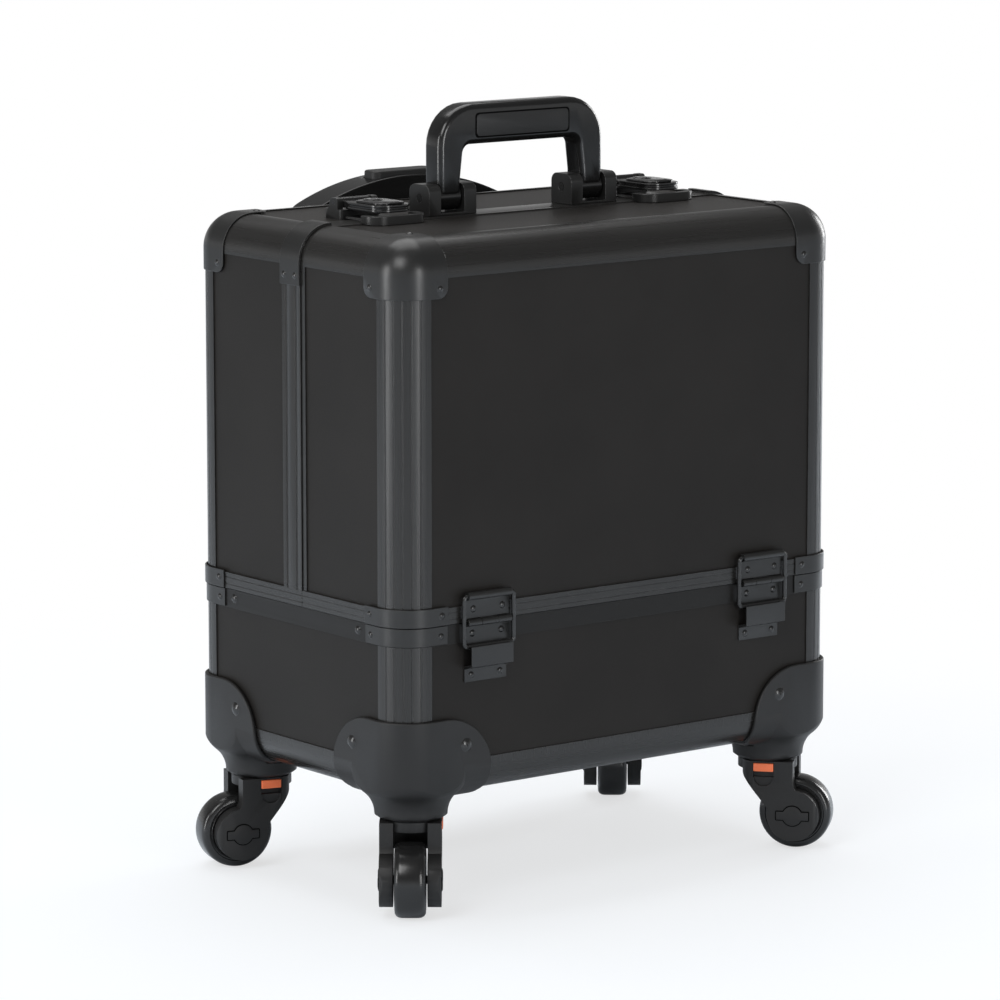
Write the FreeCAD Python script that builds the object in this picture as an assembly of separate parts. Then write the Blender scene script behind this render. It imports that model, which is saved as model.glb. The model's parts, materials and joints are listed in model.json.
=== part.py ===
import FreeCAD, Part
import math
import os

os.makedirs("parts", exist_ok=True)
V = FreeCAD.Vector

# Case shell, millimetres, floor at z = 0, front towards -Y
case_width = 400.0
case_depth = 253.0
base_height = 125.5
upper_height = 271.0
edge_radius = 25.0
flange = 27.0
wall = 5.0
panel_recess = 1.0
split_y = -10.0
seam_gap = 0.6
base_strip_h = 14.0
upper_strip_h = 12.0
strip_proud = 1.0
strip_groove_w = 0.9
strip_groove_depth = 0.4
strip_groove_inset = 3.4
centre_groove_w = 2.4
centre_groove_depth = 0.5
centre_groove_inset = 5.2
cover_edge_w = 4.0
centre_strip_w = 22.0
flute_count = 5
flute_radius = 0.9
flute_depth = 0.5

# Sheet-metal corner fittings and rivets
fitting_t = 1.2
clip_reach = 40.0
clip_h = 13.0
cap_reach = 41.0
cap_tab_radius = 8.0
bracket_drop = 41.0
bracket_w = 23.0
bracket_rivet_pitch = 13.4
rivet_r = 2.6
rivet_h = 1.2
rivet_inset = 34.0
seam_rivet_dz = 7.4
boot_rivet_r = 5.0
boot_rivet_h = 1.8

# Casters and corner boots
wheel_d = 54.0
wheel_w = 22.4
hub_d = 34.0
tyre_round = 5.0
axle_d = 6.0
caster_trail = 22.0
fork_w = 44.0
fork_collar_d = 44.0
crown_h = 7.0
crown_gap = 6.6
wheel_side_gap = 1.0
arm_disc_r = 19.3
fork_front_round = 11.0
fork_rear_round = 4.0
fork_lead = 17.0
fork_lead_drop = 3.6
fork_lead_round = 10.0
fork_toe = 18.0
fork_toe_rise = 4.0
fork_heel = 12.0
fork_saddle_rise = 15.0
fork_saddle_round = 10.0
fork_web_t = 6.0
fork_web_h = 12.0
scoop_w = 14.0
scoop_h = 7.0
scoop_round = 6.5
scoop_depth = 2.0
stem_d = 12.0
stem_len = 14.0
axle_cap_d = 14.6
axle_cap_bar = 24.0
axle_cap_bar_h = 6.0
axle_cap_t = 0.6
tab_w = 15.0
tab_h = 6.2
tab_t = 4.6
tab_proud = 0.8
tab_drop = 1.5
tab_travel = 4.0
slide_clear = 0.3
swivel_gap = 0.4
caster_inset_x = 34.0
caster_inset_y = 34.5
boot_reach = 78.0
boot_t = 3.0
boot_side_h = 58.5
boot_top_round = 40.0
boot_low_round = 12.0
boot_plate = 3.0
boot_collar_d = 52.0
boot_collar_h = 13.5
boot_rim_d = 45.0
boot_rim_h = 2.5
boot_flare_out = 16.0
boot_flare_rise = 33.0
boot_rivet_inset = 55.0
boot_rivet_rise = 38.5
front_left_angle = 232.0
front_right_angle = 311.0
rear_left_angle = 164.0
rear_right_angle = 52.0

# Front stay hinges
hinge_inset = 74.0
hinge_leaf_w = 38.0
hinge_leaf_t = 1.6
hinge_pin_d = 2.6
knuckle_r = 2.6
knuckle_w = 14.0
leaf_gap = 0.4
lower_leaf_h = 16.0
hinge_rivet_pitch = 25.5
upper_rivet_rise = 9.5
lower_rivet_drop = 8.0
stay_rise = 19.0
stay_length = 36.0
stay_w = 47.0
stay_wire_d = 3.3
stay_corner_r = 2.8
roll_wall = 1.2
guide_top_drop = 16.5
guide_bottom_drop = 33.0
guide_foot_h = 10.0
guide_w = 37.0
guide_t = 1.2
guide_standoff = 8.6
guide_slope = 2.6

# Cantilever trays and their arms
arm_pivot_inset = 50.5
arm_pivot_drop = 6.5
arm_lean = 22.0
tray_reaches = {"lower_tray": 100.0, "upper_tray": 210.0}
tray_depth = 110.0
tray_h = 42.0
tray_front = 8.0
tray_below = 14.0
tray_wall = 2.5
tray_inner_r = 4.0
tray_divider_drop = 4.0
tray_dividers = 4
arm_w = 11.0
arm_t = 2.5
arm_wall_gap = 5.0
arm_tray_gap = 1.5
pivot_d = 6.0
pivot_boss_r = 8.0
pivot_boss_t = 1.5
screw_head_r = 3.4
screw_head_h = 1.6

# Carrying handle
handle_w = 150.0
handle_rise = 79.0
handle_t = 20.0
grip_h = 29.5
leg_w = 20.0
finger_gap_w = 104.0
handle_outer_r = 30.0
handle_inner_r = 6.0
handle_top_r = 8.0
pad_w = 84.0
pad_h = 16.0
pad_t = 1.2
pad_round = 3.0
pad_drop = 1.0
handle_y = 3.0
handle_pivot_rise = 12.5
handle_foot_r = 9.8
handle_foot_round = 9.7
handle_knee_rise = 2.0
ear_t = 11.0
ear_rise = 10.0
ear_top_r = 6.0
ear_depth = 24.0
bracket_base_t = 2.0
handle_pin_d = 6.0

# Top lever latches
latch_inset = 76.0
strike_w = 50.0
strike_reach = 18.0
strike_h = 6.5
strike_floor = 1.5
strike_corner_r = 13.0
strike_back_r = 2.0
strike_pocket_gap = 1.2
lever_w = 33.0
lever_t = 5.0
lever_rise = 7.0
lever_overlap = 12.0
lever_pin_y = 31.0
lever_pin_rise = 10.5
lever_pin_d = 3.0
lever_knuckle_r = 3.6
lever_cap_t = 1.6
lever_cap_inset = 4.0
lever_cap_round = 6.0
lever_cap_tip_r = 9.9
lever_tip_r = 13.2
lever_waist_r = 8.0
lever_heel_r = 2.0
lever_shoulder = 7.0
lever_waist = 13.3
latch_block_w = 36.0
latch_block_h = 6.0
latch_block_y0 = 22.0
latch_block_y1 = 44.0
latch_neck_w = 28.0
latch_neck_t = 1.5
latch_ear_t = 5.0
latch_ear_front = 4.6
latch_ear_back = 9.0
latch_ear_r = 2.5
latch_front_r = 2.0
latch_back_r = 5.0
lock_d = 10.0
lock_y = 8.0
lock_proud = 0.8
lock_seat = 1.0
key_slot_w = 1.2
key_slot_l = 6.4
key_slot_depth = 1.5

# Telescopic trolley
trolley_x = 75.0
trolley_standoff = 16.5
outer_tube_x = 24.0
outer_tube_y = 16.0
tube_wall = 1.4
tube_clear = 0.3
tube_round = 4.0
tube_bottom_rise = 32.5
tube_stop = 5.0
mid_tube_proud = 1.5
trolley_bracket_h = 27.0
trolley_bracket_wall = 2.5
trolley_bracket_x = 18.0
trolley_bracket_r = 4.0
trolley_pad_t = 3.0
trolley_top_drop = 29.0
grip_w = 194.0
grip_depth = 30.0
grip_top_rise = 14.0
grip_end_rise = 4.0
grip_band = 20.0
grip_end_h = 14.0
grip_plan_r = 14.0
grip_gap_end = 2.0
button_w = 58.0
button_depth = 18.0
button_proud = 3.5
button_travel = 3.0
button_stem = 8.0
button_round = 6.0

# Fits shared by all pins
run_clear = 0.06
seat_clear = 0.02
part_gap = 0.4

# How far a cut runs past the face it opens, and how far webs sink into plates
overrun = 1.0

# Derived places
half_w = case_width / 2
half_d = case_depth / 2
caster_h = wheel_d + crown_gap + crown_h
boot_bottom_z = caster_h + swivel_gap
bottom_z = boot_bottom_z + boot_collar_h + boot_plate
seam_z = bottom_z + base_height
top_z = seam_z + upper_height
base_top_z = seam_z - seam_gap / 2
upper_z = seam_z + seam_gap / 2
base_strip_z = seam_z - base_strip_h
upper_strip_z = seam_z + upper_strip_h
cover_back_y = split_y - seam_gap / 2
rear_front_y = split_y + seam_gap / 2
strip_back_y = rear_front_y + centre_strip_w
panel_half_w = half_w - flange
panel_half_d = half_d - flange
panel_top_z = top_z - flange
hinge_x = half_w - hinge_inset
latch_x = half_w - latch_inset
hinge_y = -(half_d + strip_proud + knuckle_r + leaf_gap)
arm_pivot_y = arm_pivot_inset - half_d
trolley_y = half_d + trolley_standoff
tube_bottom_z = bottom_z + tube_bottom_rise
caster_x = half_w - caster_inset_x
caster_y = half_d - caster_inset_y
BIG = 2000.0


def block(x0, x1, y0, y1, z0, z1):
    return Part.makeBox(x1 - x0, y1 - y0, z1 - z0, V(x0, y0, z0))


def rod(radius, start, end):
    line = V(*end) - V(*start)
    return Part.makeCylinder(radius, line.Length, V(*start), line)


def through_x(radius, y, z):
    return rod(radius, (-BIG, y, z), (BIG, y, z))


def joined(shapes):
    return shapes[0].fuse(shapes[1:]).removeSplitter()


def span(sign, inner, outer):
    return sorted((sign * inner, sign * outer))


# A closed outline with rounded corners, given as (u, v, radius)
def outline(corners, place):
    edges = []
    count = len(corners)
    ends = []
    for i in range(count):
        u, v, radius = corners[i]
        here = V(u, v, 0)
        back = V(corners[i - 1][0], corners[i - 1][1], 0) - here
        ahead = V(corners[(i + 1) % count][0], corners[(i + 1) % count][1], 0) - here
        back.normalize()
        ahead.normalize()
        half = back.getAngle(ahead) / 2
        reach = radius / math.tan(half)
        middle = back + ahead
        middle.normalize()
        apex = here + middle * (radius / math.sin(half) - radius)
        ends.append((here + back * reach, apex, here + ahead * reach, radius))
    for i in range(count):
        start, apex, end, radius = ends[i]
        if radius > 0:
            edges.append(Part.Arc(place(start), place(apex), place(end)).toShape())
        following = ends[(i + 1) % count][0]
        if (following - end).Length > 1e-6:
            edges.append(Part.LineSegment(place(end), place(following)).toShape())
    return Part.Wire(edges)


# Slabs square to X, Y or Z; corners are (y, z), (x, z) or (x, y)
def slab_x(corners, x0, x1):
    wire = outline(corners, lambda p: V(x0, p.x, p.y))
    return Part.Face(wire).extrude(V(x1 - x0, 0, 0))


def slab_y(corners, y0, y1):
    wire = outline(corners, lambda p: V(p.x, y0, p.y))
    return Part.Face(wire).extrude(V(0, y1 - y0, 0))


def slab_z(corners, z0, z1):
    wire = outline(corners, lambda p: V(p.x, p.y, z0))
    return Part.Face(wire).extrude(V(0, 0, z1 - z0))


def rectangle(u0, u1, v0, v1, radius):
    return [(u0, v0, radius), (u1, v0, radius), (u1, v1, radius), (u0, v1, radius)]


def dome(radius, height, place, direction):
    ball = (radius * radius + height * height) / (2 * height)
    along = V(*direction)
    centre = V(*place) - along * (ball - height)
    latitude = math.degrees(math.asin((ball - height) / ball))
    return Part.makeSphere(ball, centre, along, latitude, 90, 360)


def save(name, shapes):
    whole = Part.Compound(shapes) if isinstance(shapes, list) else shapes
    whole.exportStep("parts/%s.step" % name)


# Rounded outer form of the whole case, grown or shrunk by an offset
def envelope(offset):
    raw = block(-half_w - offset, half_w + offset, -half_d - offset, half_d + offset,
                bottom_z - offset, top_z + offset)
    return raw.makeFillet(edge_radius + offset, raw.Edges)


def ring_body(offset, z0, z1):
    reach = rectangle(-half_w - offset, half_w + offset, -half_d - offset, half_d + offset,
                      edge_radius + offset)
    return slab_z(reach, z0, z1)


def ring(outer, inner, z0, z1):
    return ring_body(outer, z0, z1).cut(ring_body(inner, z0, z1))


# Proud strip round the seam with two fine grooves along it
def upper_strip():
    strip = ring(strip_proud, -wall, upper_z, upper_strip_z)
    grooves = []
    for z in (upper_z + strip_groove_inset, upper_strip_z - strip_groove_inset):
        grooves.append(ring(2 * strip_proud, strip_proud - strip_groove_depth,
                            z - strip_groove_w / 2, z + strip_groove_w / 2))
    return strip.cut(grooves)


outer_form = envelope(0)
inner_form = envelope(-wall)
skin = outer_form.cut(inner_form)
fitting_skin = envelope(fitting_t).cut(outer_form)


# Quarter-round corner post with shallow flutes
def corner_post(sx, sy, z0, z1):
    x0, x1 = span(sx, panel_half_w, BIG)
    y0, y1 = span(sy, panel_half_d, BIG)
    post = skin.common(block(x0, x1, y0, y1, z0, z1))
    cx = sx * (half_w - edge_radius)
    cy = sy * (half_d - edge_radius)
    reach = edge_radius + flute_radius - flute_depth
    flutes = []
    for i in range(flute_count):
        turn = math.radians(90.0 * (i + 1) / (flute_count + 1))
        fx = cx + sx * reach * math.cos(turn)
        fy = cy + sy * reach * math.sin(turn)
        flutes.append(rod(flute_radius, (fx, fy, z0), (fx, fy, z1)))
    return post.cut(flutes)


def front_plate(sy, x0, x1, z0, z1):
    y0, y1 = span(sy, half_d - wall, half_d - panel_recess)
    return block(x0, x1, y0, y1, z0, z1)


def end_plate(sx, y0, y1, z0, z1):
    x0, x1 = span(sx, half_w - wall, half_w - panel_recess)
    return block(x0, x1, y0, y1, z0, z1)


# Places of the rivets on both sides of a corner at one height
def corner_rivets(sx, sy, z, proud):
    x = sx * (half_w - rivet_inset)
    y = sy * (half_d - rivet_inset)
    return [dome(rivet_r, rivet_h, (x, sy * (half_d + proud), z), (0, sy, 0)),
            dome(rivet_r, rivet_h, (sx * (half_w + proud), y, z), (sx, 0, 0))]


def corner_clip(sx, sy, inset, z0, z1):
    x0, x1 = span(sx, half_w - clip_reach, BIG)
    y0, y1 = span(sy, half_d - clip_reach, BIG)
    return ring(inset + fitting_t, inset, z0, z1).common(block(x0, x1, y0, y1, z0, z1))


# Ball corner over the ends of two top rails and a post
def corner_cap(sx, sy):
    x0, x1 = span(sx, half_w - cap_reach, half_w + wall)
    y0, y1 = span(sy, half_d - cap_reach, half_d + wall)
    region = block(x0, x1, y0, y1, top_z - cap_reach, top_z + wall)
    root = V(sx * (half_w - cap_reach), sy * (half_d - cap_reach), top_z - cap_reach)
    near = [e for e in region.Edges if min((v.Point - root).Length for v in e.Vertexes) < 1e-6]
    return fitting_skin.common(region.makeFillet(cap_tab_radius, near))


def bracket_rivets(sx):
    middle = rear_front_y + bracket_w / 2
    x = sx * (half_w + strip_proud + fitting_t)
    return [dome(rivet_r, rivet_h, (x, middle + s * bracket_rivet_pitch / 2, top_z - rivet_inset), (sx, 0, 0))
            for s in (-1, 1)]


def cap_rivets(sx, sy):
    height = top_z - rivet_inset
    top = (sx * (half_w - rivet_inset), sy * (half_d - rivet_inset), top_z + fitting_t)
    return corner_rivets(sx, sy, height, fitting_t) + [dome(rivet_r, rivet_h, top, (0, 0, 1))]


# Base shell
def make_base():
    low = bottom_z + flange
    save("base_floor_panel", block(-panel_half_w, panel_half_w, -panel_half_d, panel_half_d,
                                   bottom_z + panel_recess, bottom_z + wall))
    walls = []
    rails = []
    clips = []
    for s in (-1, 1):
        walls.append(front_plate(s, -panel_half_w, panel_half_w, low, base_strip_z))
        walls.append(end_plate(s, -panel_half_d, panel_half_d, low, base_strip_z))
        y0, y1 = span(s, panel_half_d, BIG)
        rails.append(skin.common(block(-panel_half_w, panel_half_w, y0, y1, 0, low)))
        x0, x1 = span(s, panel_half_w, BIG)
        rails.append(skin.common(block(x0, x1, -panel_half_d, panel_half_d, 0, low)))
        for sy in (-1, 1):
            rails.append(corner_post(s, sy, 0, base_strip_z))
            clips.append(corner_clip(s, sy, 0, base_top_z - clip_h, base_top_z))
    save("base_wall_panels", walls)
    save("base_edge_rails", rails)
    screw_holes = [through_x(pivot_d / 2 + seat_clear, s * arm_pivot_y, arm_pivot_z) for s in (-1, 1)]
    save("base_seam_frame", ring(0, -wall, base_strip_z, base_top_z).cut(screw_holes))
    return clips


# The half behind the split stands on the base for good
def make_rear_half():
    walls = [front_plate(1, -panel_half_w, panel_half_w, upper_strip_z, panel_top_z)]
    rails = []
    caps = []
    clips = []
    brackets = []
    strip = [upper_strip(), ring(-panel_recess, -wall, base_top_z, upper_z)]
    frame = [joined(strip).common(block(-BIG, BIG, rear_front_y, BIG, 0, BIG))]
    groove_skin = envelope(2 * strip_proud).cut(envelope(strip_proud - centre_groove_depth))
    grooves = []
    for y in (rear_front_y + centre_groove_inset, strip_back_y - centre_groove_inset):
        grooves.append(groove_skin.common(block(-BIG, BIG, y - centre_groove_w / 2,
                                                y + centre_groove_w / 2, 0, BIG)))
    centre_strip = envelope(strip_proud).cut(inner_form).cut(grooves)
    y0, y1 = span(1, panel_half_d, BIG)
    rails.append(skin.common(block(-panel_half_w, panel_half_w, y0, y1, panel_top_z, BIG)))
    for s in (-1, 1):
        walls.append(end_plate(s, strip_back_y, panel_half_d, upper_strip_z, panel_top_z))
        x0, x1 = span(s, panel_half_w, BIG)
        rails.append(skin.common(block(x0, x1, strip_back_y, panel_half_d, panel_top_z, BIG)))
        rails.append(corner_post(s, 1, upper_strip_z, BIG))
        frame.append(centre_strip.common(block(x0, x1, rear_front_y, strip_back_y,
                                               upper_strip_z, BIG)))
        caps.append(corner_cap(s, 1))
        clips.append(corner_clip(s, 1, strip_proud, upper_z, upper_z + clip_h))
        cover = envelope(strip_proud + fitting_t).cut(envelope(strip_proud))
        brackets.append(cover.common(block(x0, x1, rear_front_y, rear_front_y + bracket_w,
                                           top_z - bracket_drop, BIG)))
    frame.append(skin.common(block(-panel_half_w, panel_half_w, rear_front_y, strip_back_y,
                                   panel_top_z, BIG)))
    save("rear_wall_panels", walls)
    save("rear_top_panel", block(-panel_half_w, panel_half_w, strip_back_y, panel_half_d,
                                 top_z - wall, top_z - panel_recess))
    save("rear_edge_rails", rails)
    save("rear_corner_caps", caps)
    save("rear_seam_frame", joined(frame))
    save("centre_brackets", brackets)
    return clips


# The half in front of the split, which tips forwards on the stay hinges
def make_cover():
    walls = [front_plate(-1, -panel_half_w, panel_half_w, upper_strip_z, panel_top_z)]
    rails = []
    caps = []
    clips = []
    rivets = []
    edge_y = cover_back_y - cover_edge_w
    y0, y1 = span(-1, panel_half_d, BIG)
    rails.append(skin.common(block(-panel_half_w, panel_half_w, y0, y1, panel_top_z, BIG)))
    frame = [upper_strip().common(block(-BIG, BIG, -BIG, cover_back_y, 0, BIG)),
             skin.common(block(-BIG, BIG, edge_y, cover_back_y, upper_strip_z, BIG))]
    for s in (-1, 1):
        walls.append(end_plate(s, -panel_half_d, edge_y, upper_strip_z, panel_top_z))
        x0, x1 = span(s, panel_half_w, BIG)
        rails.append(skin.common(block(x0, x1, -panel_half_d, edge_y, panel_top_z, BIG)))
        rails.append(corner_post(s, -1, upper_strip_z, BIG))
        caps.append(corner_cap(s, -1))
        clips.append(corner_clip(s, -1, strip_proud, upper_z, upper_z + clip_h))
        rivets += cap_rivets(s, -1)
        rivets += corner_rivets(s, -1, seam_z + seam_rivet_dz, strip_proud + fitting_t)
        for px in (-1, 1):
            place = (s * hinge_x + px * hinge_rivet_pitch / 2, upper_leaf_y - hinge_leaf_t,
                     seam_z + upper_rivet_rise)
            rivets.append(dome(rivet_r, rivet_h, place, (0, -1, 0)))
    save("cover_wall_panels", walls)
    save("cover_top_panel", block(-panel_half_w, panel_half_w, -panel_half_d, edge_y,
                                  top_z - wall, top_z - panel_recess))
    save("cover_edge_rails", rails)
    save("cover_corner_caps", caps)
    save("cover_seam_frame", joined(frame))
    save("cover_corner_clips", clips)
    save("cover_rivets", rivets)


# S-shaped foot that leads from the boot down to the caster's round collar
def boot_flare():
    turn = 2 * math.atan(boot_flare_out / boot_flare_rise)
    bend_r = boot_flare_rise / 2 / math.sin(turn)
    rim = V(caster_x, caster_y, boot_bottom_z)
    foot = rim + V(boot_rim_d / 2, 0, 0)
    neck = rim + V(boot_collar_d / 2, 0, boot_rim_h)
    waist = neck + V(boot_flare_out / 2, 0, boot_flare_rise / 2)
    shoulder = neck + V(boot_flare_out, 0, boot_flare_rise)
    half_out = bend_r * (1 - math.cos(turn / 2))
    half_rise = bend_r * math.sin(turn / 2)
    brow = shoulder + V(0, 0, edge_radius)
    centre = V(rim.x, rim.y, brow.z)
    side = [Part.LineSegment(rim, foot).toShape(),
            Part.LineSegment(foot, neck).toShape(),
            Part.Arc(neck, neck + V(half_out, 0, half_rise), waist).toShape(),
            Part.Arc(waist, shoulder - V(half_out, 0, half_rise), shoulder).toShape(),
            Part.LineSegment(shoulder, brow).toShape(),
            Part.LineSegment(brow, centre).toShape(),
            Part.LineSegment(centre, rim).toShape()]
    return Part.Face(Part.Wire(side)).revolve(rim, V(0, 0, 1), 360)


# Moulded guard round a lower corner, ending in the caster's collar
def corner_boot(sx, sy):
    low = bottom_z - boot_plate
    high = bottom_z + boot_side_h
    reach_x = half_w + boot_t
    reach_y = half_d + boot_t
    raw = block(-reach_x, reach_x, -reach_y, reach_y, low, low + 2 * BIG)
    form = raw.makeFillet(edge_radius + boot_t, raw.Edges)
    far_x = half_w - boot_reach
    far_y = half_d - boot_reach
    face_front = [(BIG, low, 0), (far_x, low, boot_low_round), (far_x, high, boot_top_round),
                  (BIG, high, 0)]
    face_end = [(BIG, low, 0), (far_y, low, boot_low_round), (far_y, high, boot_top_round),
                (BIG, high, 0)]
    body = form.common(slab_y(face_front, 0, BIG)).common(slab_x(face_end, 0, BIG))
    plan = rectangle(-reach_x, reach_x, -reach_y, reach_y, edge_radius + boot_t)
    flare = boot_flare().common(slab_z(plan, boot_bottom_z, bottom_z + boot_side_h))
    body = body.fuse(flare).removeSplitter()
    socket = rod(stem_d / 2 + run_clear, (caster_x, caster_y, 0),
                 (caster_x, caster_y, caster_h + stem_len + part_gap))
    body = body.cut([outer_form, socket])
    if sx < 0:
        body = body.mirror(V(0, 0, 0), V(1, 0, 0))
    if sy < 0:
        body = body.mirror(V(0, 0, 0), V(0, 1, 0))
    return body


def boot_rivets(sx, sy):
    x = sx * (half_w - boot_rivet_inset)
    y = sy * (half_d - boot_rivet_inset)
    z = bottom_z + boot_rivet_rise
    return [dome(boot_rivet_r, boot_rivet_h, (x, sy * (half_d + boot_t), z), (0, sy, 0)),
            dome(boot_rivet_r, boot_rivet_h, (sx * (half_w + boot_t), y, z), (sx, 0, 0))]


# One caster: fork with stem, wheel and brake tab, trailing along +X before it is turned
def make_caster(corner, sx, sy, trail_angle):
    half_fork = fork_w / 2
    inner = wheel_w / 2 + wheel_side_gap
    axle_z = wheel_d / 2
    crown_z = caster_h - crown_h
    collar_r = fork_collar_d / 2
    tab_side = -sx
    fork_end = caster_trail + arm_disc_r
    toe_z = axle_z + fork_toe_rise
    saddle_z = axle_z + fork_saddle_rise
    heel_x = caster_trail + fork_heel
    arm_shape = [(-fork_lead, caster_h, 0), (-fork_lead, crown_z - fork_lead_drop, fork_lead_round),
                 (caster_trail - fork_toe, toe_z, 0), (heel_x, toe_z, 0), (heel_x, saddle_z, 0),
                 (collar_r, saddle_z, fork_saddle_round), (collar_r, caster_h, 0)]
    arms = [block(-fork_lead, fork_web_t - fork_lead, -half_fork, half_fork, crown_z - fork_web_h, crown_z)]
    for s in (-1, 1):
        y0, y1 = span(s, inner, half_fork)
        arms.append(slab_y(arm_shape, y0, y1))
        arms.append(rod(arm_disc_r, (caster_trail, y0, axle_z), (caster_trail, y1, axle_z)))
    crown = rod(collar_r, (0, 0, crown_z), (0, 0, caster_h))
    stem = rod(stem_d / 2, (0, 0, caster_h), (0, 0, caster_h + stem_len))
    tab_z0 = caster_h - tab_drop - tab_h
    tab_y = half_fork + tab_proud
    slot_y0, slot_y1 = span(tab_side, tab_y - tab_t - slide_clear, BIG)
    slot = block(-tab_w / 2 - slide_clear, tab_w / 2 + slide_clear, slot_y0, slot_y1,
                 tab_z0 - tab_travel - slide_clear, tab_z0 + tab_h + slide_clear)
    bore = rod(axle_d / 2 + seat_clear, (caster_trail, -BIG, axle_z), (caster_trail, BIG, axle_z))
    plan = [(-fork_lead, -half_fork, fork_front_round), (fork_end, -half_fork, fork_rear_round),
            (fork_end, half_fork, fork_rear_round), (-fork_lead, half_fork, fork_front_round)]
    scoop_z = tab_z0 - tab_travel
    scoop_y0, scoop_y1 = span(tab_side, half_fork - scoop_depth, BIG)
    scoop = slab_y([(-scoop_w / 2, scoop_z, 0), (-scoop_w / 2, scoop_z - scoop_h, scoop_round),
                    (scoop_w / 2, scoop_z - scoop_h, scoop_round), (scoop_w / 2, scoop_z, 0)],
                   scoop_y0, scoop_y1)
    side_form = slab_y(arm_shape, -half_fork, half_fork).fuse(
        rod(arm_disc_r, (caster_trail, -half_fork, axle_z), (caster_trail, half_fork, axle_z)))
    cheeks = joined(arms).common(slab_z(plan, 0, caster_h)).common(side_form)
    fork = joined([cheeks, crown, stem]).cut([bore, slot, scoop])
    axle = [rod(axle_d / 2, (caster_trail, -half_fork, axle_z), (caster_trail, half_fork, axle_z))]
    for s in (-1, 1):
        y0, y1 = span(s, half_fork, half_fork + axle_cap_t)
        axle.append(rod(axle_cap_d / 2, (caster_trail, y0, axle_z), (caster_trail, y1, axle_z)))
        bar = rectangle(caster_trail - axle_cap_bar / 2, caster_trail + axle_cap_bar / 2,
                        axle_z - axle_cap_bar_h / 2, axle_z + axle_cap_bar_h / 2, 0)
        axle.append(slab_y(bar, y0, y1))
    axle = joined(axle)
    tyre = rod(wheel_d / 2, (caster_trail, -wheel_w / 2, axle_z), (caster_trail, wheel_w / 2, axle_z))
    tyre = tyre.makeFillet(tyre_round, [e for e in tyre.Edges if e.Closed])
    hub = rod(hub_d / 2, (caster_trail, -wheel_w / 2, axle_z), (caster_trail, wheel_w / 2, axle_z))
    tyre = tyre.cut(rod(hub_d / 2 + seat_clear, (caster_trail, -BIG, axle_z),
                        (caster_trail, BIG, axle_z)))
    hub = hub.cut(rod(axle_d / 2 + run_clear, (caster_trail, -BIG, axle_z),
                      (caster_trail, BIG, axle_z)))
    y0, y1 = span(tab_side, tab_y - tab_t, tab_y)
    tab = block(-tab_w / 2, tab_w / 2, y0, y1, tab_z0, tab_z0 + tab_h)
    place = FreeCAD.Placement(V(sx * caster_x, sy * caster_y, 0),
                              FreeCAD.Rotation(V(0, 0, 1), trail_angle))
    groups = {"caster_fork_": [fork, axle], "caster_wheel_": [tyre, hub], "brake_tab_": [tab]}
    for stem_name, shapes in groups.items():
        for shape in shapes:
            shape.Placement = place
        save(stem_name + corner, shapes)


# Front stay hinges: two leaves, a pin, a wire stay and the guide it slides in
upper_leaf_y = -(half_d + strip_proud)
lower_leaf_y = -half_d


def knuckle(x0, x1):
    return rod(knuckle_r, (x0, hinge_y, seam_z), (x1, hinge_y, seam_z))


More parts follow.
